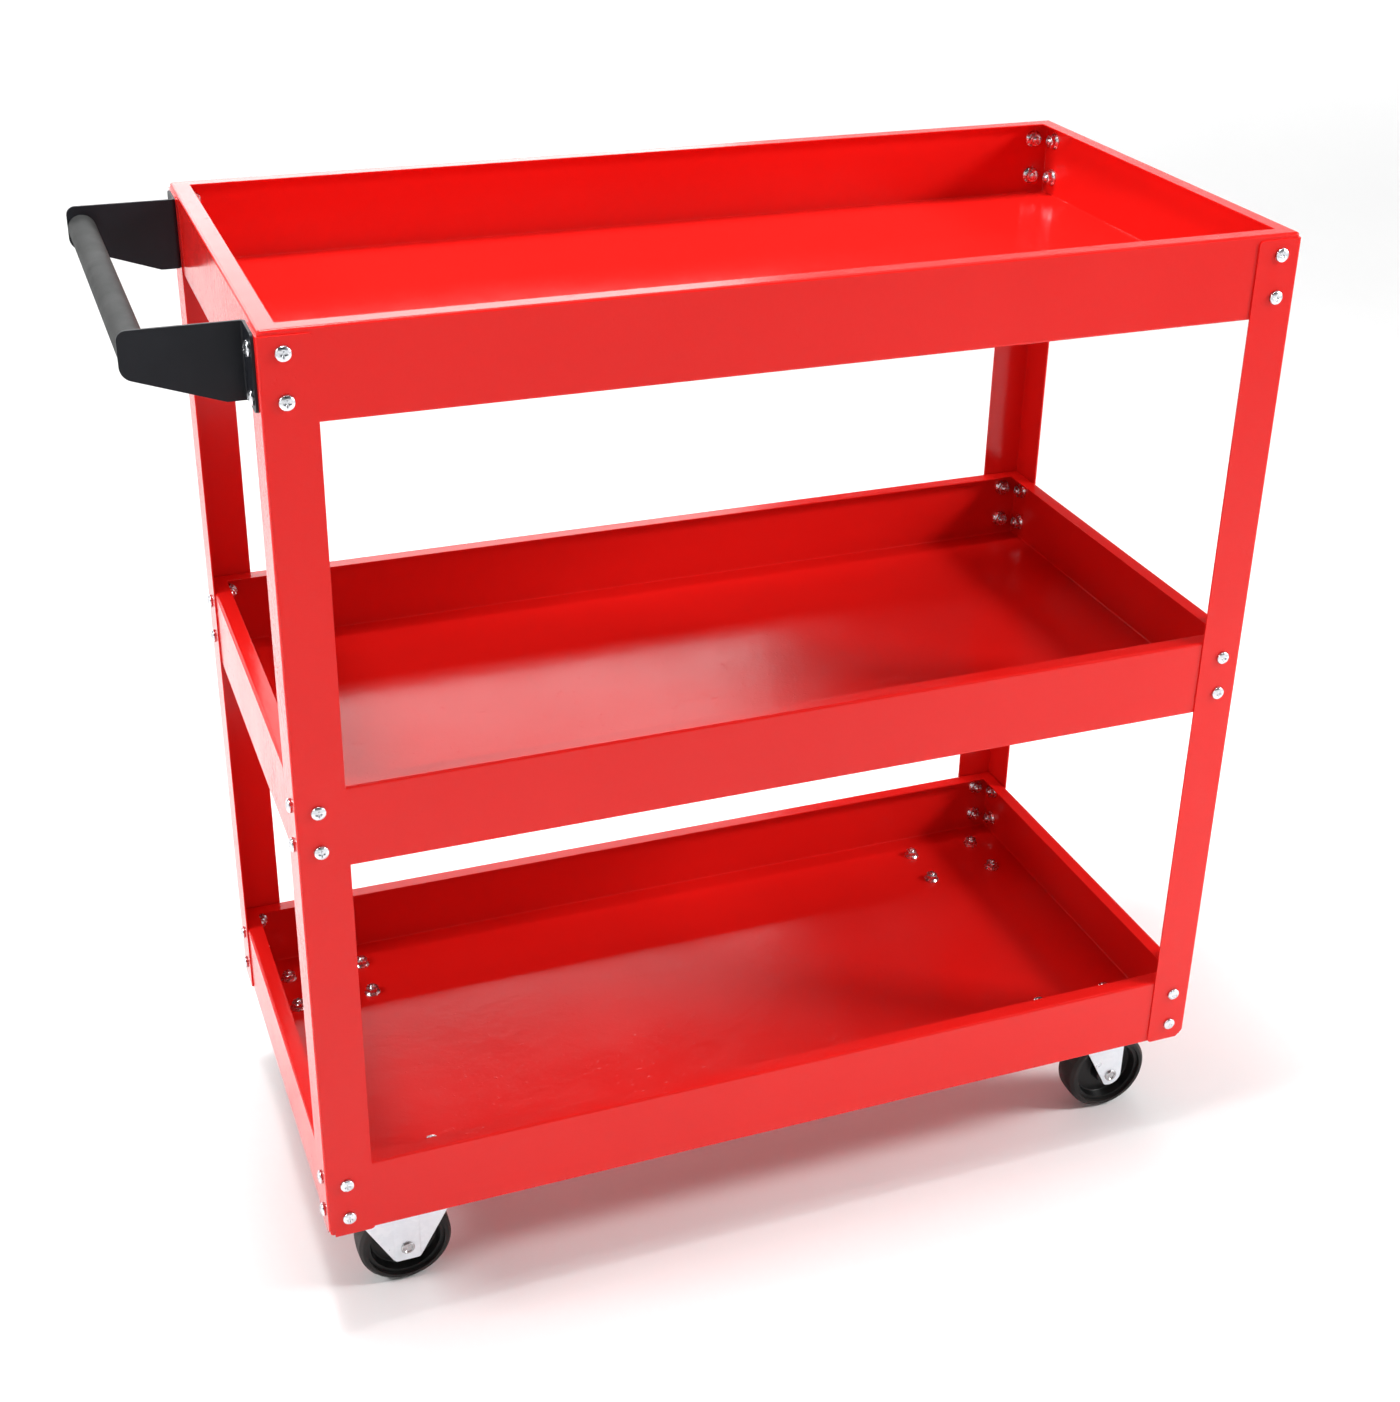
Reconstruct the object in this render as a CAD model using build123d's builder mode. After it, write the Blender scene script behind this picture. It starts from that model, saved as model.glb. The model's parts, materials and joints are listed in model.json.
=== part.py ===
from build123d import *
import os

# Three-tray steel tool cart. Millimetres, +Z up, +X away from the push handle.
# The origin is on the floor, under the centre of the whole cart, handle included.
# "left" is the handle end (-X), "front" is the -Y side.

os.makedirs("parts", exist_ok=True)

# ---- driving dimensions ----------------------------------------------------

# trays: folded pans with an inward rim
tray_length = 750.0
tray_width = 370.0
tray_depth = 63.0
tray_pitch = 327.0
tray_sheet = 1.0
rim_width = 13.0
tray_bend = 2.2
rim_corner_round = 1.0

# corner posts: folded angles outside the tray corners
post_flange = 35.5
post_sheet = 1.2
post_bend = 2.2
post_top_drop = 3.8
post_top_round = 4.0
post_foot_cut = 7.0

# frame fasteners: M6 pan heads outside, flange nuts inside
screw_inset = 16.0
screw_drop = 15.2
screw_spacing = 31.7
screw_radius = 2.95
screw_head_radius = 5.25
screw_head_height = 3.4
screw_head_side = 1.7
screw_head_round = 1.2
screw_hole_radius = 3.25
screw_tip = 2.2
screw_end_chamfer = 0.7
recess_span = 5.6
recess_slot = 1.4
recess_depth = 2.2
recess_taper = 14.0

nut_bore = 3.0
nut_across_flats = 10.0
nut_height = 6.0
nut_flange_radius = 7.1
nut_flange_edge = 0.6
nut_flange_height = 2.1
nut_crown_drop = 0.7
nut_crown_inset = 1.1
bolt_head_height = 4.0
bolt_crown_drop = 0.6
bolt_crown_inset = 1.0

# push handle
handle_sheet = 2.0
handle_reach = 79.5
handle_plate_y = 149.5
handle_root_height = 52.2
handle_end_height = 30.2
handle_flat_run = 16.0
handle_flange_width = 29.0
handle_flange_round = 5.0
handle_bend = 3.2
handle_nose_round = 6.5
handle_chin_round = 10.0
grip_radius = 10.0
grip_drop = 20.0
tube_radius = 8.0
tube_wall = 1.5
grip_end_gap = 0.2

# casters: rigid pair under the handle end, swivel pair under the other end
wheel_radius = 38.1
wheel_width = 26.0
caster_height = 100.0
caster_inset_x = 65.0
caster_y = 131.0
caster_plate = (86.0, 65.0)
caster_holes = (66.0, 45.0)
caster_plate_round = 5.0
caster_sheet = 2.0
leg_gap = 30.0
swivel_trail = 24.0

# rigid leg: half widths across, heights above the floor
leg_foot_drop = 12.5
leg_foot_half = 10.8
leg_foot_round = 5.0
leg_shoulder_half = 37.5
leg_shoulder_z = 74.0
leg_shoulder_round = 8.0
band_half = 8.5
band_ramp = 2.0
band_rise = 1.0

# swivel fork: places along the cart from the kingpin
fork_foot_radius = 10.8
fork_foot_start = -118.0
fork_back_z = 72.0
fork_back_x = 30.0
fork_front_x = -14.0
crown_centre_x = 7.0
crown_length = 46.0

# wheel: tyre on a moulded core with a thin web between hub and rim
tyre_inner_radius = 32.0
tyre_crown = 0.6
tyre_shoulder = 3.0
tyre_side_inset = 3.2
tyre_round = 1.6
hub_gap = 0.7
hub_radius = 11.5
hub_root_radius = 12.5
web_half_at_hub = 3.5
web_half_at_rim = 2.6
core_rim_inner = 27.0
core_rim_lip = 28.6
core_rim_half = 10.0
core_round = 0.9

# axle: dished rivet heads outside the legs
axle_radius = 4.0
axle_head_radius = 5.6
axle_head_height = 1.7
axle_dish_radius = 3.2
axle_dish_height = 0.8
axle_head_round = 0.7
sleeve_radius = 5.5
running_gap = 0.05

# swivel head
pan_radius = 24.0
pan_depth = 3.0
pan_slope = 3.0
ball_radius = 2.5
ball_ring_radius = 19.0
ball_count = 16
lower_ball_radius = 2.0
lower_ring_radius = 9.6
lower_ball_count = 11
kingpin_radius = 5.0
kingpin_hole_gap = 0.6
kingpin_head_radius = 8.0
kingpin_head_crown = 6.5
kingpin_head_edge = 1.2
kingpin_head_height = 2.4
kingpin_flange_radius = 13.0
kingpin_flange_sheet = 2.0
kingpin_tail_radius = 7.0
kingpin_tail_end_radius = 6.0
kingpin_tail = 1.6
upper_ball_drop = 1.8
lower_ball_drop = 1.3

# ---- heights and places worked out from them -------------------------------

floor_z = caster_height
rim_heights = {
    "bottom": floor_z + tray_depth,
    "middle": floor_z + tray_depth + tray_pitch,
    "top": floor_z + tray_depth + 2 * tray_pitch,
}
post_top_z = rim_heights["top"] - post_top_drop
head_overhang = post_sheet + screw_head_height
cart_x = (handle_reach - head_overhang) / 2
half_length = tray_length / 2
half_width = tray_width / 2
post_x = half_length + post_sheet
post_y = half_width + post_sheet
axle_z = wheel_radius
leg_outer = leg_gap / 2 + caster_sheet
hexagon_corner = nut_across_flats / 3**0.5
near = 0.01


def save(builder, name):
    builder.part.label = name
    export_step(builder.part, f"parts/{name}.step")


# ---- trays -----------------------------------------------------------------

def screw_planes(rim_z, faces=("front", "rear", "left", "right"), stand=0.0):
    """Outward planes where a tray's screws enter the posts, stood off by a distance."""
    planes = []
    for level in (rim_z - screw_drop, rim_z - screw_drop - screw_spacing):
        for side in (-1, 1):
            x = cart_x + side * (post_x - screw_inset)
            y = side * (post_y - screw_inset)
            if "front" in faces:
                planes.append(Plane((x, -post_y - stand, level), (1, 0, 0), (0, -1, 0)))
            if "rear" in faces:
                planes.append(Plane((x, post_y + stand, level), (1, 0, 0), (0, 1, 0)))
            if "left" in faces:
                planes.append(Plane((cart_x - post_x - stand, y, level), (0, 1, 0), (-1, 0, 0)))
            if "right" in faces:
                planes.append(Plane((cart_x + post_x + stand, y, level), (0, 1, 0), (1, 0, 0)))
    return planes


def caster_centres():
    inset = half_length - caster_inset_x
    return {
        "rigid_front": (cart_x - inset, -caster_y),
        "rigid_rear": (cart_x - inset, caster_y),
        "swivel_front": (cart_x + inset, -caster_y),
        "swivel_rear": (cart_x + inset, caster_y),
    }


def make_tray(name, rim_z, caster_holes_in_floor):
    bottom = rim_z - tray_depth
    with BuildPart() as hollow:
        with Locations((cart_x, 0, bottom + tray_depth / 2)):
            Box(
                tray_length - 2 * tray_sheet,
                tray_width - 2 * tray_sheet,
                tray_depth - 2 * tray_sheet,
            )
        fillet(hollow.edges(), tray_bend - tray_sheet)
    with BuildPart() as tray:
        with Locations((cart_x, 0, bottom + tray_depth / 2)):
            Box(tray_length, tray_width, tray_depth)
        fillet(tray.edges(), tray_bend)
        add(hollow.part, mode=Mode.SUBTRACT)
        with BuildSketch(Plane.XY.offset(rim_z)):
            with Locations((cart_x, 0)):
                RectangleRounded(
                    tray_length - 2 * rim_width, tray_width - 2 * rim_width, rim_corner_round
                )
        extrude(amount=-2 * tray_sheet, mode=Mode.SUBTRACT)
        for plane in screw_planes(rim_z):
            with BuildSketch(plane):
                Circle(screw_hole_radius)
            extrude(amount=-5 * tray_sheet, mode=Mode.SUBTRACT)
        if caster_holes_in_floor:
            with BuildSketch(Plane.XY.offset(bottom)):
                for centre in caster_centres().values():
                    with Locations(centre):
                        with GridLocations(caster_holes[0], caster_holes[1], 2, 2):
                            Circle(screw_hole_radius)
            extrude(amount=2 * tray_sheet, mode=Mode.SUBTRACT)
    save(tray, name)


for level_name, height in rim_heights.items():
    make_tray(f"{level_name}_tray", height, level_name == "bottom")

# ---- placing copies --------------------------------------------------------


def save_copies(name, blank, places):
    with BuildPart() as copies:
        with Locations(*places):
            add(blank.part)
    save(copies, name)


# ---- corner posts ----------------------------------------------------------

# The blank stands with its outer corner on the Z axis. The flange along +Y has its foot
# corner cut off beside the bend; the flange along +X is plain. The four posts are the same
# folded angle, turned a quarter each time.

post_height = post_top_z - floor_z
hole_heights = [
    rim_z - drop - floor_z
    for rim_z in rim_heights.values()
    for drop in (screw_drop, screw_drop + screw_spacing)
]

with BuildPart() as post_blank:
    with BuildSketch():
        with BuildLine():
            Polyline(
                (0, 0),
                (post_flange, 0),
                (post_flange, post_sheet),
                (post_sheet, post_sheet),
                (post_sheet, post_flange),
                (0, post_flange),
                close=True,
            )
        make_face()
    extrude(amount=post_height)
    upright = post_blank.edges().filter_by(Axis.Z)
    fillet(upright.sort_by_distance((0, 0, post_height / 2))[0], post_bend)
    upright = post_blank.edges().filter_by(Axis.Z)
    inside = (post_sheet, post_sheet, post_height / 2)
    fillet(upright.sort_by_distance(inside)[0], post_bend - post_sheet)
    for face_plane in (Plane.XZ, Plane.YZ):
        with BuildSketch(face_plane):
            with Locations(*[(screw_inset, height) for height in hole_heights]):
                Circle(screw_hole_radius)
        extrude(amount=2 * post_sheet, both=True, mode=Mode.SUBTRACT)
    with BuildSketch(Plane.YZ):
        with BuildLine():
            Polyline((0, 0), (post_foot_cut, 0), (0, post_foot_cut), close=True)
        make_face()
    extrude(amount=2 * post_bend, mode=Mode.SUBTRACT)
    along_x = post_blank.edges().filter_by(Axis.X).filter_by_position(
        Axis.Y, post_flange - near, post_flange + near
    )
    along_y = post_blank.edges().filter_by(Axis.Y).filter_by_position(
        Axis.X, post_flange - near, post_flange + near
    )
    fillet(along_x + along_y, post_top_round)

post_places = {
    "post_front_left": Location((cart_x - post_x, -post_y, floor_z), (0, 0, 0)),
    "post_front_right": Location((cart_x + post_x, -post_y, floor_z), (0, 0, 90)),
    "post_rear_right": Location((cart_x + post_x, post_y, floor_z), (0, 0, 180)),
    "post_rear_left": Location((cart_x - post_x, post_y, floor_z), (0, 0, 270)),
}
for post_name, place in post_places.items():
    save_copies(post_name, post_blank, [place])

# ---- frame fasteners -------------------------------------------------------

frame_stack = post_sheet + tray_sheet
dome_rise = screw_head_height - screw_head_side
dome_radius = (screw_head_radius**2 + dome_rise**2) / (2 * dome_rise)


def make_screw(grip_length):
    """Pan-head machine screw. Its head stands on Z = 0 and its shank points down."""
    shank = grip_length + nut_height + screw_tip
    with BuildPart() as screw:
        with BuildSketch(Plane.XZ):
            with BuildLine():
                Line((0, 0), (screw_head_radius, 0))
                Line((screw_head_radius, 0), (screw_head_radius, screw_head_side))
                RadiusArc((screw_head_radius, screw_head_side), (0, screw_head_height), -dome_radius)
                Line((0, screw_head_height), (0, 0))
            make_face()
            rim_corner = vertices().sort_by_distance((screw_head_radius, screw_head_side))[0]
            fillet(rim_corner, screw_head_round)
        revolve(axis=Axis.Z)
        with BuildSketch():
            Circle(screw_radius)
        extrude(amount=-shank)
        chamfer(screw.edges().sort_by(Axis.Z)[0], screw_end_chamfer)
        # cross recess
        with BuildSketch(Plane.XY.offset(screw_head_height)):
            Rectangle(recess_span, recess_slot)
            Rectangle(recess_slot, recess_span)
        extrude(amount=-recess_depth, taper=recess_taper, mode=Mode.SUBTRACT)
    return screw


with BuildPart() as nut_blank:
    # serrated-flange hexagon nut, seated on Z = 0 and pointing down
    with BuildSketch():
        RegularPolygon(nut_across_flats / 2, 6, major_radius=False)
    extrude(amount=-nut_height)
    with BuildSketch(Plane.XZ):
        with BuildLine():
            Polyline(
                (0, 0),
                (hexagon_corner, 0),
                (hexagon_corner, nut_crown_drop - nut_height),
                (hexagon_corner - nut_crown_inset, -nut_height),
                (0, -nut_height),
                close=True,
            )
        make_face()
    revolve(axis=Axis.Z, mode=Mode.INTERSECT)
    with BuildSketch(Plane.XZ):
        with BuildLine():
            Polyline(
                (0, 0),
                (nut_flange_radius, 0),
                (nut_flange_radius, -nut_flange_edge),
                (hexagon_corner, -nut_flange_height),
                (0, -nut_flange_height),
                close=True,
            )
        make_face()
    revolve(axis=Axis.Z)
    with BuildSketch():
        Circle(nut_bore)
    extrude(amount=-nut_height, mode=Mode.SUBTRACT)

frame_screw = make_screw(frame_stack)
handle_screw = make_screw(frame_stack + handle_sheet)
all_faces = ("front", "rear", "left", "right")
for level_name, height in rim_heights.items():
    faces = all_faces if level_name != "top" else ("front", "rear", "right")
    save_copies(f"{level_name}_tray_screws", frame_screw, screw_planes(height, faces))
    save_copies(
        f"{level_name}_tray_nuts", nut_blank, screw_planes(height, faces, -frame_stack)
    )
save_copies(
    "handle_screws", handle_screw, screw_planes(rim_heights["top"], ("left",), handle_sheet)
)
save_copies(
    "handle_nuts", nut_blank, screw_planes(rim_heights["top"], ("left",), -frame_stack)
)

# ---- push handle -----------------------------------------------------------

end_wall_x = cart_x - half_length
flange_x = cart_x - post_x
handle_top = post_top_z
handle_tip_x = end_wall_x - handle_reach
plate_inner_y = handle_plate_y - handle_sheet

with BuildPart() as handle_bracket_front:
    with BuildSketch(Plane.XY.offset(handle_top - handle_root_height)):
        with BuildLine():
            Polyline(
                (handle_tip_x, -plate_inner_y),
                (flange_x, -plate_inner_y),
                (flange_x, -handle_plate_y - handle_flange_width),
                (flange_x - handle_sheet, -handle_plate_y - handle_flange_width),
                (flange_x - handle_sheet, -handle_plate_y),
                (handle_tip_x, -handle_plate_y),
                close=True,
            )
        make_face()
    extrude(amount=handle_root_height)
    upright = handle_bracket_front.edges().filter_by(Axis.Z)
    bend_z = handle_top - handle_root_height / 2
    fillet(upright.sort_by_distance((flange_x, -plate_inner_y, bend_z))[0], handle_bend)
    upright = handle_bracket_front.edges().filter_by(Axis.Z)
    bend_inside = (flange_x - handle_sheet, -handle_plate_y, bend_z)
    fillet(upright.sort_by_distance(bend_inside)[0], handle_bend - handle_sheet)
    # side outline: level top, tapering underside, rounded nose
    with BuildSketch(Plane.XZ.offset(handle_plate_y - 2 * handle_sheet)):
        with BuildLine():
            Polyline(
                (flange_x, handle_top),
                (handle_tip_x, handle_top),
                (handle_tip_x, handle_top - handle_end_height),
                (end_wall_x - handle_flat_run, handle_top - handle_root_height),
                (flange_x, handle_top - handle_root_height),
                close=True,
            )
        make_face()
        fillet(vertices().group_by(Axis.X)[0].sort_by(Axis.Y)[-1], handle_nose_round)
        fillet(vertices().group_by(Axis.X)[0].sort_by(Axis.Y)[0], handle_chin_round)
    extrude(amount=handle_flange_width + 3 * handle_sheet, mode=Mode.INTERSECT)
    flange_end = -handle_plate_y - handle_flange_width
    corners = handle_bracket_front.edges().filter_by(Axis.X).filter_by_position(
        Axis.Y, flange_end - near, flange_end + near
    )
    fillet(corners, handle_flange_round)
    for plane in screw_planes(rim_heights["top"], ("left",), handle_sheet):
        if plane.origin.Y < 0:
            with BuildSketch(plane):
                Circle(screw_hole_radius)
            extrude(amount=-2 * handle_sheet, mode=Mode.SUBTRACT)
save(handle_bracket_front, "handle_bracket_front")

with BuildPart() as handle_bracket_rear:
    mirror(handle_bracket_front.part, about=Plane.XZ)
save(handle_bracket_rear, "handle_bracket_rear")

grip_axis = Plane(
    (handle_tip_x + grip_radius, plate_inner_y, rim_heights["top"] - grip_drop),
    x_dir=(1, 0, 0),
    z_dir=(0, -1, 0),
)
with BuildPart() as handle_tube:
    with BuildSketch(grip_axis):
        Circle(tube_radius)
        Circle(tube_radius - tube_wall, mode=Mode.SUBTRACT)
    extrude(amount=2 * plate_inner_y)
save(handle_tube, "handle_tube")

with BuildPart() as handle_grip:
    with BuildSketch(grip_axis.offset(grip_end_gap)):
        Circle(grip_radius)
        Circle(tube_radius + running_gap, mode=Mode.SUBTRACT)
    extrude(amount=2 * (plate_inner_y - grip_end_gap))
save(handle_grip, "handle_grip")

# ---- caster pieces, each around its own mounting centre ---------------------

# local origin: on the floor, below the centre of the mounting plate; swivel wheels trail to +X


def plate_sketch():
    RectangleRounded(caster_plate[0], caster_plate[1], caster_plate_round)
    with GridLocations(caster_holes[0], caster_holes[1], 2, 2):
        Circle(screw_hole_radius, mode=Mode.SUBTRACT)


plate_under = caster_height - caster_sheet

with BuildPart() as rigid_leg:
    # pressed sheet leg on the +Y side, with a raised band down its middle
    inner = leg_gap / 2
    foot_z = axle_z - leg_foot_drop
    blank_half = leg_shoulder_half + caster_sheet
    with BuildSketch(Plane.XY.offset(foot_z)):
        with BuildLine():
            Polyline(
                (-blank_half, inner),
                (-band_half - band_ramp, inner),
                (-band_half, inner + band_rise),
                (band_half, inner + band_rise),
                (band_half + band_ramp, inner),
                (blank_half, inner),
                (blank_half, leg_outer),
                (band_half + 1.5 * band_ramp, leg_outer),
                (band_half + band_ramp / 2, leg_outer + band_rise),
                (-band_half - band_ramp / 2, leg_outer + band_rise),
                (-band_half - 1.5 * band_ramp, leg_outer),
                (-blank_half, leg_outer),
                close=True,
            )
        make_face()
    extrude(amount=plate_under - foot_z)
    with BuildSketch(Plane.XZ.offset(-leg_outer - 2 * band_rise)):
        with BuildLine():
            Polyline(
                (-leg_shoulder_half, plate_under),
                (-leg_shoulder_half, leg_shoulder_z),
                (-leg_foot_half, foot_z),
                (leg_foot_half, foot_z),
                (leg_shoulder_half, leg_shoulder_z),
                (leg_shoulder_half, plate_under),
                close=True,
            )
        make_face()
        fillet(vertices().group_by(Axis.Y)[0], leg_foot_round)
        fillet(vertices().group_by(Axis.Y)[-2], leg_shoulder_round)
    extrude(amount=4 * caster_sheet, mode=Mode.INTERSECT)

with BuildPart() as rigid_bracket:
    with BuildSketch(Plane.XY.offset(plate_under)):
        plate_sketch()
    extrude(amount=caster_sheet)
    add(rigid_leg.part)
    mirror(rigid_leg.part, about=Plane.XZ)
    with BuildSketch(Plane.XZ.offset(-leg_gap)):
        with Locations((0, axle_z)):
            Circle(axle_radius + running_gap)
    extrude(amount=2 * leg_gap, mode=Mode.SUBTRACT)

# swivel head, from the top: plate with a sunk pan, balls, fork crown, balls, kingpin flange
pan_under = plate_under - pan_depth
pan_top = pan_under + caster_sheet
upper_ball_z = pan_under - upper_ball_drop
crown_top = upper_ball_z - upper_ball_drop
crown_under = crown_top - caster_sheet
lower_ball_z = crown_under - lower_ball_drop
kingpin_flange_z = lower_ball_z - lower_ball_drop
kingpin_flange_under = kingpin_flange_z - kingpin_flange_sheet


def make_groove(ring_radius, ring_z, ball):
    """Ring that a row of balls sweeps, for cutting its race into the pieces around it."""
    with BuildPart() as groove:
        with Locations((0, 0, ring_z)):
            Torus(ring_radius, ball + running_gap)
    return groove.part


upper_race = make_groove(ball_ring_radius, upper_ball_z, ball_radius)
lower_race = make_groove(lower_ring_radius, lower_ball_z, lower_ball_radius)


with BuildPart() as swivel_plate:
    with BuildSketch(Plane.XY.offset(plate_under)):
        plate_sketch()
        Circle(pan_radius + pan_slope, mode=Mode.SUBTRACT)
    extrude(amount=caster_sheet)
    with BuildSketch(Plane.XZ):
        with BuildLine():
            Polyline(
                (kingpin_radius + running_gap, pan_under),
                (pan_radius + 1, pan_under),
                (pan_radius + pan_slope + 1, plate_under),
                (pan_radius + pan_slope + 1, caster_height),
                (pan_radius + pan_slope, caster_height),
                (pan_radius, pan_top),
                (kingpin_radius + running_gap, pan_top),
                close=True,
            )
        make_face()
    revolve(axis=Axis.Z)
    add(upper_race, mode=Mode.SUBTRACT)

with BuildPart() as kingpin:
    with BuildSketch(Plane.XZ):
        with BuildLine():
            Polyline(
                (0, pan_top + kingpin_head_height),
                (kingpin_head_crown, pan_top + kingpin_head_height),
                (kingpin_head_radius, pan_top + kingpin_head_edge),
                (kingpin_head_radius, pan_top),
                (kingpin_radius, pan_top),
                (kingpin_radius, kingpin_flange_z),
                (kingpin_flange_radius, kingpin_flange_z),
                (kingpin_flange_radius, kingpin_flange_under),
                (kingpin_tail_radius, kingpin_flange_under),
                (kingpin_tail_end_radius, kingpin_flange_under - kingpin_tail),
                (0, kingpin_flange_under - kingpin_tail),
                close=True,
            )
        make_face()
    revolve(axis=Axis.Z)
    add(lower_race, mode=Mode.SUBTRACT)

with BuildPart() as swivel_balls:
    with Locations((0, 0, upper_ball_z)):
        with PolarLocations(ball_ring_radius, ball_count):
            Sphere(ball_radius)
    with Locations((0, 0, lower_ball_z)):
        with PolarLocations(lower_ring_radius, lower_ball_count):
            Sphere(lower_ball_radius)

with BuildPart() as fork_leg:
    # raked sheet leg on the +Y side: straight leading edge, round foot, upright back edge
    foot_centre = (swivel_trail, axle_z)
    with BuildSketch(Plane.XZ.offset(-leg_outer)):
        with BuildLine():
            foot = CenterArc(foot_centre, fork_foot_radius, fork_foot_start, -fork_foot_start)
            Polyline(
                foot @ 1,
                (swivel_trail + fork_foot_radius, fork_back_z),
                (fork_back_x, crown_top),
                (fork_front_x, crown_top),
                foot @ 0,
            )
        make_face()
    extrude(amount=caster_sheet)

with BuildPart() as swivel_fork:
    with BuildSketch(Plane.XY.offset(crown_under)):
        Circle(pan_radius + 1)
        with Locations((crown_centre_x, 0)):
            Rectangle(crown_length, 2 * leg_outer)
    extrude(amount=caster_sheet)
    add(fork_leg.part)
    mirror(fork_leg.part, about=Plane.XZ)
    with BuildSketch(Plane.XY.offset(crown_under)):
        Circle(kingpin_radius + kingpin_hole_gap)
    extrude(amount=caster_sheet, mode=Mode.SUBTRACT)
    add(upper_race, mode=Mode.SUBTRACT)
    add(lower_race, mode=Mode.SUBTRACT)
    with BuildSketch(Plane.XZ.offset(-leg_gap)):
        with Locations((swivel_trail, axle_z)):
            Circle(axle_radius + running_gap)
    extrude(amount=2 * leg_gap, mode=Mode.SUBTRACT)

# ---- wheel pieces, around the Z axis -----------------------------------------

hub_half = leg_gap / 2 - hub_gap
half_wheel = wheel_width / 2

with BuildPart() as wheel_core:
    with BuildSketch(Plane.XZ):
        with BuildLine():
            Polyline(
                (sleeve_radius + running_gap, hub_half),
                (hub_radius, hub_half),
                (hub_root_radius, web_half_at_hub),
                (core_rim_inner, web_half_at_rim),
                (core_rim_lip, core_rim_half),
                (tyre_inner_radius, core_rim_half),
                (tyre_inner_radius, -core_rim_half),
                (core_rim_lip, -core_rim_half),
                (core_rim_inner, -web_half_at_rim),
                (hub_root_radius, -web_half_at_hub),
                (hub_radius, -hub_half),
                (sleeve_radius + running_gap, -hub_half),
                close=True,
            )
        make_face()
        fillet(vertices().filter_by_position(Axis.X, hub_radius - 1, core_rim_inner + 1), core_round)
    revolve(axis=Axis.Z)

with BuildPart() as tyre:
    with BuildSketch(Plane.XZ):
        with BuildLine():
            tread_edge = wheel_radius - tyre_crown
            shoulder = half_wheel - tyre_shoulder
            side_radius = wheel_radius - tyre_side_inset
            ThreePointArc((tread_edge, shoulder), (wheel_radius, 0), (tread_edge, -shoulder))
            Polyline(
                (tread_edge, -shoulder),
                (side_radius, -half_wheel),
                (tyre_inner_radius, -half_wheel),
                (tyre_inner_radius, half_wheel),
                (side_radius, half_wheel),
                (tread_edge, shoulder),
            )
        make_face()
        fillet(
            vertices().filter_by_position(Axis.X, tyre_inner_radius + 1, wheel_radius), tyre_round
        )
    revolve(axis=Axis.Z)

with BuildPart() as axle_sleeve:
    with BuildSketch(Plane.XY.offset(-leg_gap / 2)):
        Circle(sleeve_radius)
        Circle(axle_radius + running_gap, mode=Mode.SUBTRACT)
    extrude(amount=leg_gap)


def make_axle(grip_half):
    """Riveted axle: a shank with a low dished head closed against each leg."""
    head_top = grip_half + axle_head_height
    with BuildPart() as axle:
        with BuildSketch(Plane.XZ):
            with BuildLine():
                Polyline(
                    (0, grip_half + axle_dish_height),
                    (axle_dish_radius, grip_half + axle_dish_height),
                    (axle_dish_radius + axle_head_round, head_top),
                    (axle_head_radius - axle_head_round, head_top),
                    (axle_head_radius, head_top - axle_head_round),
                    (axle_head_radius, grip_half),
                    (axle_radius, grip_half),
                    (axle_radius, 0),
                    (0, 0),
                    close=True,
                )
            make_face()
        revolve(axis=Axis.Z)
        mirror(about=Plane.XY)
    return axle


rigid_axle = make_axle(leg_outer + band_rise)
swivel_axle = make_axle(leg_outer)

with BuildPart() as caster_bolt:
    # hexagon bolt: head under the plate, shank up through plate and tray floor
    with BuildSketch(Plane.XY.offset(plate_under)):
        RegularPolygon(nut_across_flats / 2, 6, major_radius=False)
    extrude(amount=-bolt_head_height)
    with BuildSketch(Plane.XZ):
        with BuildLine():
            Polyline(
                (0, plate_under),
                (hexagon_corner, plate_under),
                (hexagon_corner, plate_under - bolt_head_height + bolt_crown_drop),
                (hexagon_corner - bolt_crown_inset, plate_under - bolt_head_height),
                (0, plate_under - bolt_head_height),
                close=True,
            )
        make_face()
    revolve(axis=Axis.Z, mode=Mode.INTERSECT)
    with BuildSketch(Plane.XY.offset(plate_under)):
        Circle(screw_radius)
    extrude(amount=caster_sheet + tray_sheet + nut_height + screw_tip)
    chamfer(caster_bolt.edges().sort_by(Axis.Z)[-1], screw_end_chamfer)

# ---- the four casters in place ----------------------------------------------

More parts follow.
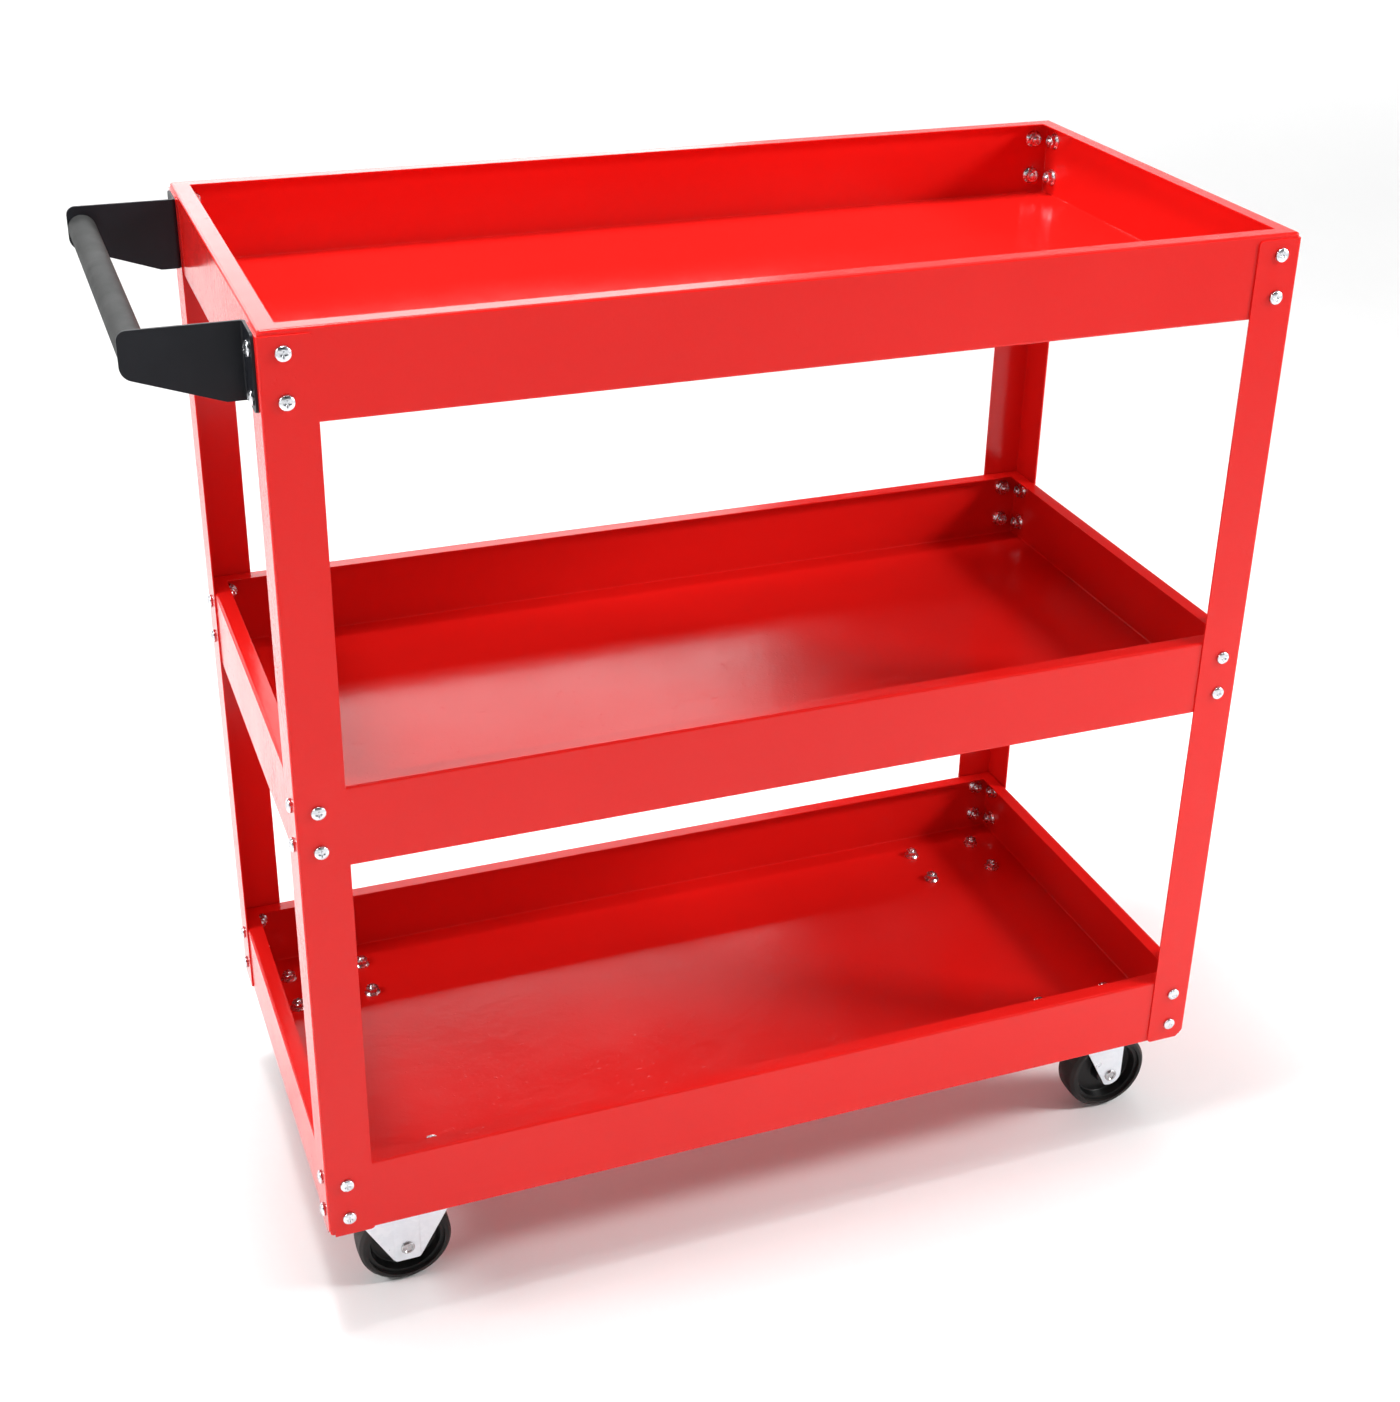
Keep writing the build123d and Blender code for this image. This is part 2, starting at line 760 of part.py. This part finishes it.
nut_seat = floor_z + tray_sheet
half_x = caster_holes[0] / 2
half_y = caster_holes[1] / 2
for caster_name, (x, y) in caster_centres().items():
    kind, row = caster_name.split("_")
    rigid = kind == "rigid"
    on_floor = Location((x, y, 0))
    wheel_x = x if rigid else x + swivel_trail
    on_axle = Location((wheel_x, y, axle_z), (90, 0, 0))
    if rigid:
        save_copies(f"rigid_bracket_{row}", rigid_bracket, [on_floor])
    else:
        save_copies(f"swivel_plate_{row}", swivel_plate, [on_floor])
        save_copies(f"kingpin_{row}", kingpin, [on_floor])
        save_copies(f"swivel_balls_{row}", swivel_balls, [on_floor])
        save_copies(f"swivel_fork_{row}", swivel_fork, [on_floor])
    save_copies(f"{kind}_wheel_core_{row}", wheel_core, [on_axle])
    save_copies(f"{kind}_tyre_{row}", tyre, [on_axle])
    save_copies(f"{kind}_axle_sleeve_{row}", axle_sleeve, [on_axle])
    save_copies(f"{kind}_axle_{row}", rigid_axle if rigid else swivel_axle, [on_axle])
    holes = [(x + i * half_x, y + j * half_y) for i in (-1, 1) for j in (-1, 1)]
    save_copies(
        f"{kind}_caster_bolts_{row}", caster_bolt, [Location((hx, hy, 0)) for hx, hy in holes]
    )
    save_copies(
        f"{kind}_caster_nuts_{row}",
        nut_blank,
        [Location((hx, hy, nut_seat), (180, 0, 0)) for hx, hy in holes],
    )
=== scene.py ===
import json
import math

import bmesh
import bpy
from mathutils import Matrix, Vector


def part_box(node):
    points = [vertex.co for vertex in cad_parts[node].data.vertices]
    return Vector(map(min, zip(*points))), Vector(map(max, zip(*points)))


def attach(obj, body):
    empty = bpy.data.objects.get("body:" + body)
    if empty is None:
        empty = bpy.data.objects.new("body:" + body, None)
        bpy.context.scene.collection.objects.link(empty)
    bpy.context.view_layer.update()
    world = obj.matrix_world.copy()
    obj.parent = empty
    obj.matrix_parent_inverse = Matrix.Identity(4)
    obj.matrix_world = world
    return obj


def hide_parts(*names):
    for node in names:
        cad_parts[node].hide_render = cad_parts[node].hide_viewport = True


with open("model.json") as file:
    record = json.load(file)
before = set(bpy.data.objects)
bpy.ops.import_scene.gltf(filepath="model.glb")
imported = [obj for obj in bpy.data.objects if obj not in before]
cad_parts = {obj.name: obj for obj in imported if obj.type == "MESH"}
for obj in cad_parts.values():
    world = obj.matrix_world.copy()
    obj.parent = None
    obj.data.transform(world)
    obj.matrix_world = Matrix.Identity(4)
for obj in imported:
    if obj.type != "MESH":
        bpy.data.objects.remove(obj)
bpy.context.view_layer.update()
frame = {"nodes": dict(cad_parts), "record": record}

MM = 0.001
WHITE = (1, 1, 1, 1)
EXPOSURE = -0.12
scene = bpy.context.scene
scene.view_settings.view_transform = "Standard"
scene.view_settings.exposure = EXPOSURE

# ---- material kit -------------------------------------------------------------


class Shader:
    """A node material under construction: helper calls add nodes and link them."""

    def __init__(self, name):
        self.material = bpy.data.materials.new(name)
        self.material.use_nodes = True
        self.tree = self.material.node_tree
        self.surface = self.tree.nodes["Principled BSDF"]
        self.place = self.node("ShaderNodeTexCoord").outputs["Object"]

    def node(self, kind, **settings):
        made = self.tree.nodes.new(kind)
        for key, value in settings.items():
            setattr(made, key, value)
        return made

    def link(self, source, target):
        self.tree.links.new(source, target)

    def noise(self, scale, detail=3.0, roughness=0.5, stretch=None):
        made = self.node("ShaderNodeTexNoise")
        made.inputs["Scale"].default_value = scale
        made.inputs["Detail"].default_value = detail
        made.inputs["Roughness"].default_value = roughness
        place = self.place
        if stretch:
            mapping = self.node("ShaderNodeMapping")
            mapping.inputs["Scale"].default_value = stretch
            self.link(place, mapping.inputs["Vector"])
            place = mapping.outputs["Vector"]
        self.link(place, made.inputs["Vector"])
        return made.outputs["Fac"]

    def ramp(self, source, *stops):
        made = self.node("ShaderNodeValToRGB")
        while len(made.color_ramp.elements) < len(stops):
            made.color_ramp.elements.new(0.5)
        for element, (position, value) in zip(made.color_ramp.elements, stops):
            element.position = position
            element.color = (*value, 1) if len(value) == 3 else value
        self.link(source, made.inputs["Fac"])
        return made.outputs["Color"]

    def grey(self, source, *stops):
        return self.ramp(source, *[(position, (v, v, v)) for position, v in stops])

    def mix(self, factor, first, second):
        made = self.node("ShaderNodeMix", data_type="RGBA")
        for value, socket in ((factor, 0), (first, 6), (second, 7)):
            target = made.inputs[socket]
            if isinstance(value, bpy.types.NodeSocket):
                self.link(value, target)
            else:
                target.default_value = value if socket == 0 else (*value, 1)
        return made.outputs[2]

    def bump(self, height, strength, distance, below=None):
        made = self.node("ShaderNodeBump")
        made.inputs["Strength"].default_value = strength
        made.inputs["Distance"].default_value = distance
        self.link(height, made.inputs["Height"])
        if below:
            self.link(below, made.inputs["Normal"])
        return made.outputs["Normal"]

    def set(self, **values):
        for key, value in values.items():
            socket = self.surface.inputs[key.replace("_", " ")]
            if isinstance(value, bpy.types.NodeSocket):
                self.link(value, socket)
            else:
                socket.default_value = value
        return self.material


def red_powder_coat():
    shader = Shader("red_powder_coat")
    cloud = shader.noise(2.2, 4)
    colour = shader.ramp(cloud, (0.25, (0.62, 0.009, 0.007)), (0.75, (0.74, 0.012, 0.009)))
    peel = shader.noise(420, 2)
    wave = shader.noise(55, 2)
    dust = shader.grey(shader.noise(330, 1, 0.4), (0.70, 0.0), (0.80, 1.0))
    worn = shader.grey(shader.noise(7, 6, 0.65), (0.3, 0.12), (0.75, 0.25))
    normal = shader.bump(peel, 0.16, 0.0004)
    normal = shader.bump(wave, 0.05, 0.002, normal)
    normal = shader.bump(dust, 0.25, 0.0004, normal)
    return shader.set(
        Base_Color=colour,
        Roughness=worn,
        Normal=normal,
        Specular_IOR_Level=0.25,
        Coat_Weight=0.05,
        Coat_Roughness=0.06,
    )


def black_powder_coat():
    shader = Shader("black_powder_coat")
    grain = shader.noise(700, 3, 0.6)
    tone = shader.noise(14, 4)
    colour = shader.ramp(tone, (0.3, (0.007, 0.008, 0.011)), (0.75, (0.013, 0.014, 0.018)))
    rough = shader.grey(shader.noise(30, 5), (0.3, 0.34), (0.75, 0.48))
    return shader.set(
        Base_Color=colour,
        Roughness=rough,
        Normal=shader.bump(grain, 0.22, 0.0003),
        Specular_IOR_Level=0.18,
    )


def grip_vinyl():
    shader = Shader("grip_vinyl")
    grain = shader.noise(1100, 3, 0.65)
    tone = shader.noise(22, 4)
    colour = shader.ramp(
        tone, (0.3, (0.0270, 0.0282, 0.0282)), (0.75, (0.0372, 0.0384, 0.0378))
    )
    rough = shader.grey(shader.noise(45, 4), (0.3, 0.55), (0.75, 0.70))
    return shader.set(
        Base_Color=colour,
        Roughness=rough,
        Normal=shader.bump(grain, 0.3, 0.0004),
        Specular_IOR_Level=0.16,
    )


def zinc_plate():
    shader = Shader("zinc_plate")
    spangle = shader.node("ShaderNodeTexVoronoi")
    spangle.inputs["Scale"].default_value = 260
    shader.link(shader.place, spangle.inputs["Vector"])
    grains = shader.ramp(
        spangle.outputs["Color"], (0.0, (0.66, 0.72, 0.77)), (1.0, (0.82, 0.87, 0.91))
    )
    tone = shader.ramp(
        shader.noise(35, 4), (0.3, (0.70, 0.76, 0.81)), (0.8, (0.86, 0.90, 0.93))
    )
    colour = shader.mix(0.35, tone, grains)
    rough = shader.grey(shader.noise(60, 5), (0.3, 0.26), (0.8, 0.42))
    drawn = shader.noise(500, 3, 0.6, (1, 1, 0.08))
    return shader.set(
        Base_Color=colour,
        Metallic=0.65,
        Roughness=rough,
        Normal=shader.bump(drawn, 0.12, 0.0003),
    )


def zinc_fastener():
    shader = Shader("zinc_fastener")
    tone = shader.ramp(
        shader.noise(180, 4), (0.3, (0.60, 0.62, 0.66)), (0.8, (0.80, 0.81, 0.83))
    )
    rough = shader.grey(shader.noise(400, 4), (0.3, 0.20), (0.8, 0.34))
    return shader.set(
        Base_Color=tone,
        Metallic=1.0,
        Roughness=rough,
        Normal=shader.bump(shader.noise(1500, 2), 0.10, 0.0002),
    )


def plain_steel():
    shader = Shader("plain_steel")
    tone = shader.ramp(
        shader.noise(90, 4), (0.3, (0.40, 0.40, 0.41)), (0.8, (0.56, 0.56, 0.57))
    )
    rough = shader.grey(shader.noise(120, 4), (0.3, 0.22), (0.8, 0.36))
    return shader.set(
        Base_Color=tone,
        Metallic=1.0,
        Roughness=rough,
        Normal=shader.bump(shader.noise(800, 2), 0.1, 0.0002),
    )


def wheel_plastic():
    shader = Shader("wheel_plastic")
    tone = shader.ramp(
        shader.noise(60, 4), (0.3, (0.005, 0.005, 0.005)), (0.8, (0.010, 0.010, 0.010))
    )
    rough = shader.grey(shader.noise(70, 4), (0.3, 0.30), (0.8, 0.46))
    return shader.set(
        Base_Color=tone,
        Roughness=rough,
        Normal=shader.bump(shader.noise(900, 3), 0.12, 0.0003),
        Specular_IOR_Level=0.30,
    )


def tyre_rubber():
    shader = Shader("tyre_rubber")
    dust = shader.noise(40, 5)
    tone = shader.ramp(dust, (0.35, (0.008, 0.007, 0.007)), (0.8, (0.022, 0.018, 0.016)))
    rough = shader.grey(shader.noise(90, 5), (0.3, 0.42), (0.8, 0.66))
    return shader.set(
        Base_Color=tone,
        Roughness=rough,
        Normal=shader.bump(shader.noise(700, 4), 0.25, 0.0004),
        Specular_IOR_Level=0.28,
    )


MATERIALS = {
    "red_powder_coat": red_powder_coat(),
    "black_powder_coat": black_powder_coat(),
    "grip_vinyl": grip_vinyl(),
    "zinc_plate": zinc_plate(),
    "zinc_fastener": zinc_fastener(),
    "plain_steel": plain_steel(),
    "wheel_plastic": wheel_plastic(),
    "tyre_rubber": tyre_rubber(),
}

node_slots = {part["node"]: part["material_slot"] for part in frame["record"]["subparts"]}
bodies = frame["record"]["behaviour"]["bodies"]
node_bodies = {name: body for body, names in bodies.items() for name in names}
for name, node in frame["nodes"].items():
    # the riveted axle heads are duller than the plated legs round them
    finish = "plain_steel" if "_axle_" in name else node_slots[name]
    for slot in node.material_slots:
        slot.material = MATERIALS[finish]

# ---- finer pieces that stand for CAD nodes ---------------------------------------

top_low, top_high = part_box("top_tray")
cart_centre_x = (top_low.x + top_high.x) / 2
rim_z = top_high.z

# sheet metal: what counts as one flat face, and which edges are eased
SHEET_MERGE = 0.01 * MM
FLAT_ANGLE = math.radians(0.4)
EDGE_ANGLE = math.radians(28)
EDGE_SEGMENTS = 2

# M6 screws and bolts: where the plain shank is, and the thread cut into its end
SCREW_MERGE = 0.002 * MM
SHANK_RADIUS = 2.95 * MM
SHANK_SPREAD = 1.03
HEAD_ZONE = 4.2 * MM
CORE_SHARE = 0.78
CORE_END_ZONE = 0.2 * MM
CORE_END_CUT = 0.3 * MM
THREAD_PITCH = MM
THREAD_DEPTH = 0.62 * THREAD_PITCH
THREAD_START = 5.5 * MM
THREAD_LENGTH = 5.4 * MM
THREAD_STEPS_AROUND = 24
THREAD_ROWS_PER_TURN = 6
THREAD_TIP_SHARE = 0.78
THREAD_SHARP_ANGLE = math.radians(35)


def stand_for(name, mesh_data):
    """Show a finer mesh in place of one CAD node, on the same body and in the same finish."""
    piece = bpy.data.objects.new(f"{name}_fine", mesh_data)
    piece.data.materials.clear()
    piece.data.materials.append(MATERIALS[node_slots[name]])
    scene.collection.objects.link(piece)
    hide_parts(name)
    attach(piece, node_bodies[name])
    return piece


def soften_edges(piece, width):
    """Real bevels along the sharp edges, applied to the mesh, with the flat faces kept flat."""
    bevel = piece.modifiers.new("edge", "BEVEL")
    bevel.width = width
    bevel.segments = EDGE_SEGMENTS
    bevel.limit_method = "ANGLE"
    bevel.angle_limit = EDGE_ANGLE
    bevel.miter_outer = "MITER_ARC"
    bevel.use_clamp_overlap = True
    even = piece.modifiers.new("flat_faces", "WEIGHTED_NORMAL")
    even.mode = "FACE_AREA"
    even.weight = 100
    even.thresh = 0.001
    depsgraph = bpy.context.evaluated_depsgraph_get()
    rounded = bpy.data.meshes.new_from_object(piece.evaluated_get(depsgraph))
    piece.modifiers.clear()
    piece.data = rounded


def sheet_piece(name, width):
    """Copy of a sheet-metal node with its flat faces made whole and its cut edges eased."""
    work = bmesh.new()
    work.from_mesh(frame["nodes"][name].data)
    bmesh.ops.remove_doubles(work, verts=work.verts, dist=SHEET_MERGE)
    bmesh.ops.dissolve_limit(
        work,
        angle_limit=FLAT_ANGLE,
        use_dissolve_boundaries=False,
        verts=work.verts,
        edges=work.edges,
        delimit={"NORMAL"},
    )
    for face in work.faces:
        face.smooth = True
    mesh = bpy.data.meshes.new(f"{name}_fine")
    work.to_mesh(mesh)
    work.free()
    soften_edges(stand_for(name, mesh), width)


def thread_end(work, centre, axis, outward, start):
    """Add a helical thread to a mesh: rows along the axis, each row a ring of points."""
    rows = round(THREAD_LENGTH / THREAD_PITCH * THREAD_ROWS_PER_TURN)
    across = Vector((0, 0, 1)) if abs(axis.z) < 0.5 else Vector((1, 0, 0))
    third = axis.cross(across)
    rings = []
    for row in range(rows + 1):
        along = start + row * THREAD_LENGTH / rows
        taper = min(1.0, (rows - row) / THREAD_ROWS_PER_TURN * 0.5 + THREAD_TIP_SHARE)
        ring = []
        for step in range(THREAD_STEPS_AROUND):
            turn = step / THREAD_STEPS_AROUND
            wave = abs(((row / THREAD_ROWS_PER_TURN - turn) % 1.0) * 2 - 1)
            radius = (SHANK_RADIUS - THREAD_DEPTH * (1 - wave)) * taper
            angle = turn * math.tau
            spoke = across * math.cos(angle) + third * math.sin(angle)
            ring.append(work.verts.new(centre + axis * (along * outward) + spoke * radius))
        rings.append(ring)
    for low, high in zip(rings, rings[1:]):
        for step in range(THREAD_STEPS_AROUND):
            after = (step + 1) % THREAD_STEPS_AROUND
            work.faces.new((low[step], low[after], high[after], high[step]))
    work.faces.new(rings[-1])


def islands(work):
    """Groups of connected vertices."""
    seen = set()
    for first in work.verts:
        if first in seen:
            continue
        group = [first]
        seen.add(first)
        for vert in group:
            for edge in vert.link_edges:
                other = edge.other_vert(vert)
                if other not in seen:
                    seen.add(other)
                    group.append(other)
        yield group


def threaded_piece(name):
    """Copy of a screw or bolt node, its plain shanks narrowed and given cut threads."""
    work = bmesh.new()
    work.from_mesh(frame["nodes"][name].data)
    bmesh.ops.remove_doubles(work, verts=work.verts, dist=SCREW_MERGE)
    for face in work.faces:
        face.smooth = True
    middle = Vector((cart_centre_x, 0, rim_z))
    for group in list(islands(work)):
        low = Vector([min(v.co[i] for v in group) for i in range(3)])
        high = Vector([max(v.co[i] for v in group) for i in range(3)])
        size = high - low
        centre = (low + high) / 2
        # the screw runs along the axis across which it is round; upright bolts point up
        pairs = [abs(size[(i + 1) % 3] - size[(i + 2) % 3]) for i in range(3)]
        main = pairs.index(min(pairs))
        axis = Vector([1.0 if i == main else 0.0 for i in range(3)])
        inward = -1 if main != 2 and centre[main] > middle[main] else 1
        half = size[main] / 2
        for vert in group:
            out = vert.co - centre
            along = out[main] * inward
            radial = out - axis * out[main]
            if radial.length < SHANK_RADIUS * SHANK_SPREAD and along > -half + HEAD_ZONE:
                vert.co = centre + axis * out[main] + radial * CORE_SHARE
                if along > half - CORE_END_ZONE:
                    vert.co -= axis * (inward * CORE_END_CUT)
        thread_end(work, centre, axis, inward, half - THREAD_START)
    mesh = bpy.data.meshes.new(f"{name}_fine")
    work.to_mesh(mesh)
    work.free()
    stand_for(name, mesh)
    mesh.shade_smooth()
    mesh.set_sharp_from_angle(angle=THREAD_SHARP_ANGLE)


for name in node_slots:
    if "screws" in name or "bolts" in name:
        threaded_piece(name)

SHEET_EDGES = {
    "top_tray": 0.30,
    "middle_tray": 0.30,
    "bottom_tray": 0.30,
    "post_front_left": 0.30,
    "post_front_right": 0.30,
    "post_rear_left": 0.30,
    "post_rear_right": 0.30,
    "handle_bracket_front": 0.45,
    "handle_bracket_rear": 0.45,
    "rigid_bracket_front": 0.35,
    "rigid_bracket_rear": 0.35,
    "swivel_plate_front": 0.35,
    "swivel_plate_rear": 0.35,
    "swivel_fork_front": 0.35,
    "swivel_fork_rear": 0.35,
}
for name, width in SHEET_EDGES.items():
    sheet_piece(name, width * MM)

# ---- studio -------------------------------------------------------------------


FLOOR_RADIUS = 7.5
SWEEP_RADIUS = 2.5
SWEEP_STEPS = 16
WALL_TOP = 3.6
FLOOR_STEPS_AROUND = 96
GLOW_FROM, GLOW_TO, GLOW_STRENGTH = 1.6, 9.0, 0.7
SKY_ANGLE = math.radians(50)
SKY_POWER = 0.75
WORLD_STRENGTH = 0.04

# name, place, point aimed at, size, power
SOFTBOXES = (
    ("key_left", (-2.5, -0.14, 2.2), (0.1, 0, 0.5), (0.9, 0.9), 55),
    ("key_right", (1.90, -0.66, 1.10), (0.30, 0, 0.55), (0.25, 0.4), 8),
    ("back_panel", (0.0, 6.5, 3.2), (0, 0, 0.5), (5.5, 3.0), 170),
    ("front_right_high", (2.2, -1.2, 1.9), (0.1, 0, 0.5), (0.5, 0.5), 50),
    ("overhead", (-0.3, 0.1, 2.9), (0.0, 0, 0.5), (0.8, 0.8), 80),
)

CAMERA_PLACE = (-0.5201, -1.4102, 1.2224)
CAMERA_YAW, CAMERA_PITCH, CAMERA_ROLL = (math.radians(a) for a in (21.674, 27.016, 1.347))
CAMERA_LENS = 53.61
CAMERA_SHIFT = (-0.0124, -0.0355)


def floor_material():
    """Matt white that glows faintly far from the cart, so that the horizon stays pale."""
    shader = Shader("studio_floor")
    tone = shader.ramp(
        shader.noise(3, 3), (0.3, (0.86, 0.86, 0.86)), (0.8, (0.89, 0.89, 0.89))
    )
    radius = shader.node("ShaderNodeVectorMath", operation="LENGTH")
    shader.link(shader.place, radius.inputs[0])
    glow = shader.node("ShaderNodeMapRange")
    glow.inputs["From Min"].default_value = GLOW_FROM
    glow.inputs["From Max"].default_value = GLOW_TO
    glow.inputs["To Min"].default_value = 0.0
    glow.inputs["To Max"].default_value = GLOW_STRENGTH
    shader.link(radius.outputs["Value"], glow.inputs["Value"])
    return shader.set(
        Base_Color=tone,
        Roughness=0.55,
        Emission_Color=WHITE,
        Emission_Strength=glow.outputs["Result"],
    )


def make_floor():
    """Round studio floor that sweeps up into a wall all the way round."""
    profile = [(2.0, 0.0), (4.5, 0.0), (FLOOR_RADIUS, 0.0)]
    for step in range(1, SWEEP_STEPS + 1):
        angle = step / SWEEP_STEPS * math.pi / 2
        radius = FLOOR_RADIUS + SWEEP_RADIUS * math.sin(angle)
        profile.append((radius, SWEEP_RADIUS - SWEEP_RADIUS * math.cos(angle)))
    profile.append((FLOOR_RADIUS + SWEEP_RADIUS, WALL_TOP))
    work = bmesh.new()
    centre = work.verts.new((0, 0, 0))
    rings = []
    for radius, height in profile:
        ring = []
        for step in range(FLOOR_STEPS_AROUND):
            angle = step / FLOOR_STEPS_AROUND * math.tau
            place = (radius * math.cos(angle), radius * math.sin(angle), height)
            ring.append(work.verts.new(place))
        rings.append(ring)
    for step in range(FLOOR_STEPS_AROUND):
        after = (step + 1) % FLOOR_STEPS_AROUND
        work.faces.new((centre, rings[0][step], rings[0][after]))
        for inner, outer in zip(rings, rings[1:]):
            work.faces.new((inner[step], outer[step], outer[after], inner[after]))
    for face in work.faces:
        face.smooth = True
    mesh = bpy.data.meshes.new("studio_floor")
    work.to_mesh(mesh)
    work.free()
    floor = bpy.data.objects.new("studio_floor", mesh)
    floor.data.materials.append(floor_material())
    scene.collection.objects.link(floor)


def softbox(name, place, target, size, power):
    """A rectangular lamp aimed at a point."""
    light = bpy.data.lights.new(name, "AREA")
    light.shape = "RECTANGLE"
    light.size, light.size_y = size
    light.energy = power
    lamp = bpy.data.objects.new(name, light)
    lamp.location = place
    lamp.rotation_euler = (Vector(target) - Vector(place)).to_track_quat("-Z", "Y").to_euler()
    scene.collection.objects.link(lamp)


def soft_sky():
    """A broad even light from above, behind and a little to the right."""
    sky = bpy.data.lights.new("soft_sky", "SUN")
    sky.energy = SKY_POWER
    sky.angle = SKY_ANGLE
    lamp = bpy.data.objects.new("soft_sky", sky)
    lamp.rotation_euler = Vector((0.18, 0.12, 1)).to_track_quat("Z", "Y").to_euler()
    scene.collection.objects.link(lamp)


def make_world():
    world = bpy.data.worlds.new("studio")
    scene.world = world
    world.use_nodes = True
    background = world.node_tree.nodes["Background"]
    background.inputs["Color"].default_value = WHITE
    background.inputs["Strength"].default_value = WORLD_STRENGTH


def make_camera():
    camera = bpy.data.objects.new("camera", bpy.data.cameras.new("camera"))
    camera.data.sensor_fit = "HORIZONTAL"
    camera.data.lens = CAMERA_LENS
    camera.data.shift_x, camera.data.shift_y = CAMERA_SHIFT
    camera.data.clip_end = 50
    turn = Matrix.Rotation(-CAMERA_YAW, 4, "Z")
    turn = turn @ Matrix.Rotation(math.pi / 2 - CAMERA_PITCH, 4, "X")
    turn = turn @ Matrix.Rotation(CAMERA_ROLL, 4, "Z")
    camera.matrix_world = Matrix.Translation(CAMERA_PLACE) @ turn
    scene.collection.objects.link(camera)
    scene.camera = camera


make_floor()
make_world()
soft_sky()
for name, place, target, size, power in SOFTBOXES:
    softbox(name, place, target, size, power)
make_camera()
